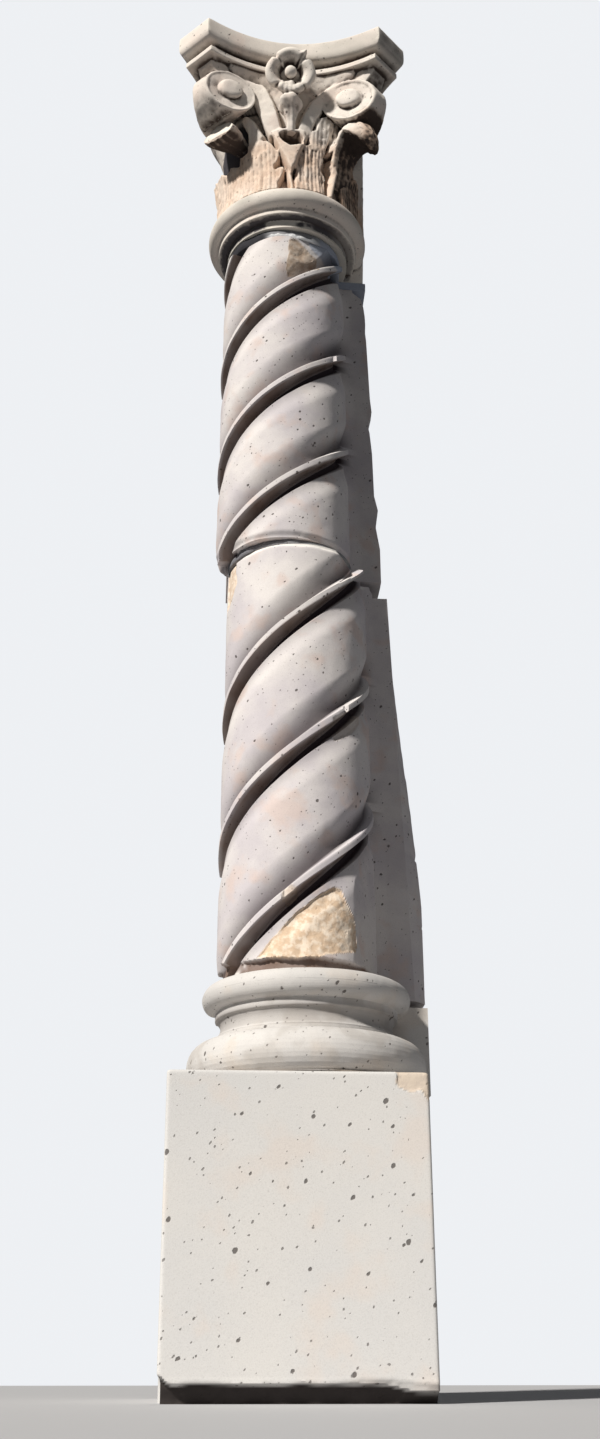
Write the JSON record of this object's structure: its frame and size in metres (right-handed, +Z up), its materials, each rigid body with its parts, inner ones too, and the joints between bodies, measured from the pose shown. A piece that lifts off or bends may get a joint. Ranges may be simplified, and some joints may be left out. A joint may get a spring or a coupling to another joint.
{
  "type": "spiral pilaster",
  "caption": "Engaged spiral-ribbed stone column on a square plinth block and moulded base, with an acanthus leaf capital and a flat back for a wall.",
  "frame": {"origin": "on the resting bed of the plinth block, straight below the nominal axis of the column", "axes": "+Z up the column, -Y out of the wall towards the viewer, +X to the viewer's right, where the backing shows"},
  "size_m": [0.4356, 0.34, 2.3498],
  "materials": {
    "cream_stone": null,
    "lilac_stone": null,
    "tawny_stone": null,
    "grey_mortar": null
  },
  "bodies": {
    "root": {"plinth_block": "cream_stone", "moulded_base": "cream_stone", "lower_shaft_drum": "lilac_stone", "middle_mortar_bed": "grey_mortar", "upper_shaft_drum": "lilac_stone", "top_mortar_bed": "grey_mortar", "capital": "tawny_stone"}
  },
  "joints": []
}
